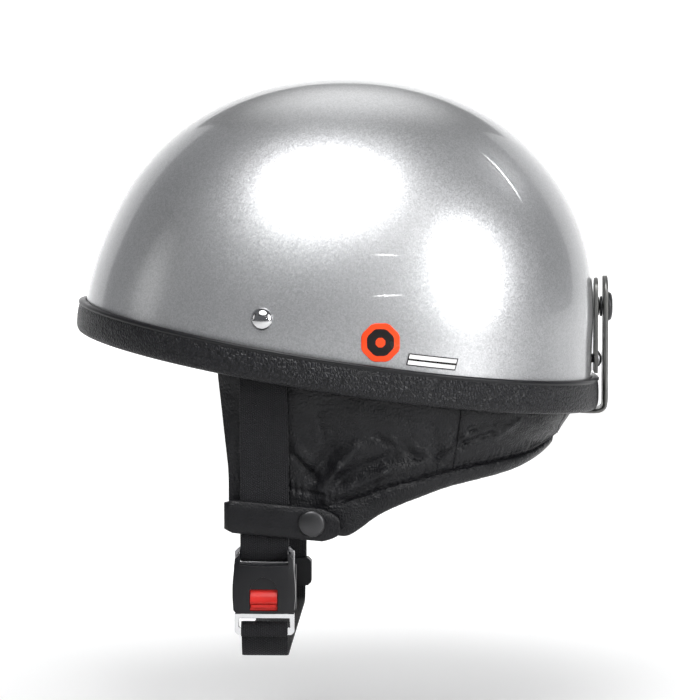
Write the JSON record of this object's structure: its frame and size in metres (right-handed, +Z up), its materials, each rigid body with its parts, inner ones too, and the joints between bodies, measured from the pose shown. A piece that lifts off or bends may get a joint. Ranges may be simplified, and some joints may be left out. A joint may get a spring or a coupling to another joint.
{
  "type": "open face half helmet",
  "caption": "Half shell motorcycle helmet with a rubber rim trim, leather neck and ear apron, quick release chin strap and rear goggle strap holder.",
  "frame": {"origin": "centre of the head opening, at the height of the rim", "axes": "+Z up as worn, -Y towards the brow, +X towards the wearer's left"},
  "size_m": [0.2326, 0.2914, 0.3018],
  "materials": {
    "silver_lacquer": "glossy metallic lacquer on fibreglass",
    "black_rubber": "satin, grained",
    "foam": "beaded foam",
    "black_fabric": "soft knit",
    "orange_film": "printed film",
    "white_film": "printed film",
    "black_leather": "soft, creased",
    "chrome": "polished",
    "steel": "plated",
    "black_webbing": "woven",
    "black_plastic": "fine texture",
    "red_plastic": "semi gloss",
    "black_metal": "satin lacquer"
  },
  "bodies": {
    "helmet": {"outer_shell": "silver_lacquer", "edge_trim": "black_rubber", "impact_liner": "foam", "comfort_liner": "black_fabric", "sweatband": "black_fabric", "side_decal": "orange_film", "side_label": "white_film", "left_ear_flap": "black_leather", "right_ear_flap": "black_leather", "left_nape_panel": "black_leather", "right_nape_panel": "black_leather", "rear_nape_panel": "black_leather", "apron_roll": "black_leather", "left_ear_lining": "black_fabric", "right_ear_lining": "black_fabric", "nape_lining": "black_fabric", "left_strap_rivet": "chrome", "right_strap_rivet": "chrome", "left_rivet_washer": "steel", "right_rivet_washer": "steel", "left_strap_webbing": "black_webbing", "right_strap_webbing": "black_webbing", "adjuster_slide": "black_plastic", "buckle_frame": "steel", "buckle_cover": "black_plastic", "buckle_base": "black_plastic", "catch_spring": "steel", "left_keeper_back": "black_leather", "right_keeper_back": "black_leather", "left_snap_stud": "black_metal", "right_snap_stud": "black_metal", "left_snap_post": "black_metal", "right_snap_post": "black_metal", "goggle_backplate": "black_metal", "goggle_rivet_left": "steel", "goggle_rivet_right": "steel", "goggle_strap_anchor": "black_leather", "goggle_snap_stud": "black_metal"},
    "button": {"release_button": "red_plastic"},
    "chin_loop": {"buckle_tongue": "chrome", "chin_strap_webbing": "black_webbing"},
    "left_keeper": {"left_keeper_strap": "black_leather", "left_snap_cap": "black_metal", "left_snap_socket": "black_metal"},
    "right_keeper": {"right_keeper_strap": "black_leather", "right_snap_cap": "black_metal", "right_snap_socket": "black_metal"},
    "goggle_leaf": {"goggle_strap": "black_leather", "goggle_snap_cap": "black_metal", "goggle_snap_socket": "black_metal"}
  },
  "joints": [
    {"name": "button_press", "type": "slide", "parent": "helmet", "child": "button", "axis": [-1, 0, 0], "range_m": [0, 0.002], "stiffness_N_per_m": 900, "deforming": ["catch_spring"]},
    {"name": "tongue_release", "type": "slide", "parent": "helmet", "child": "chin_loop", "axis": [0, 0, -1], "range_m": [0, 0.02], "deforming": ["catch_spring"]},
    {"name": "left_keeper_open", "type": "hinge", "parent": "helmet", "child": "left_keeper", "pos_m": [0.0921, -0.0503, -0.0775], "axis": [0, 0, -1], "range_deg": [0, 100]},
    {"name": "right_keeper_open", "type": "hinge", "parent": "helmet", "child": "right_keeper", "pos_m": [-0.0921, -0.0503, -0.0775], "axis": [0, 0, 1], "range_deg": [0, 100]},
    {"name": "goggle_strap_open", "type": "hinge", "parent": "helmet", "child": "goggle_leaf", "pos_m": [0, 0.1457, -0.0255], "axis": [-1, 0, 0], "range_deg": [0, 95]}
  ]
}
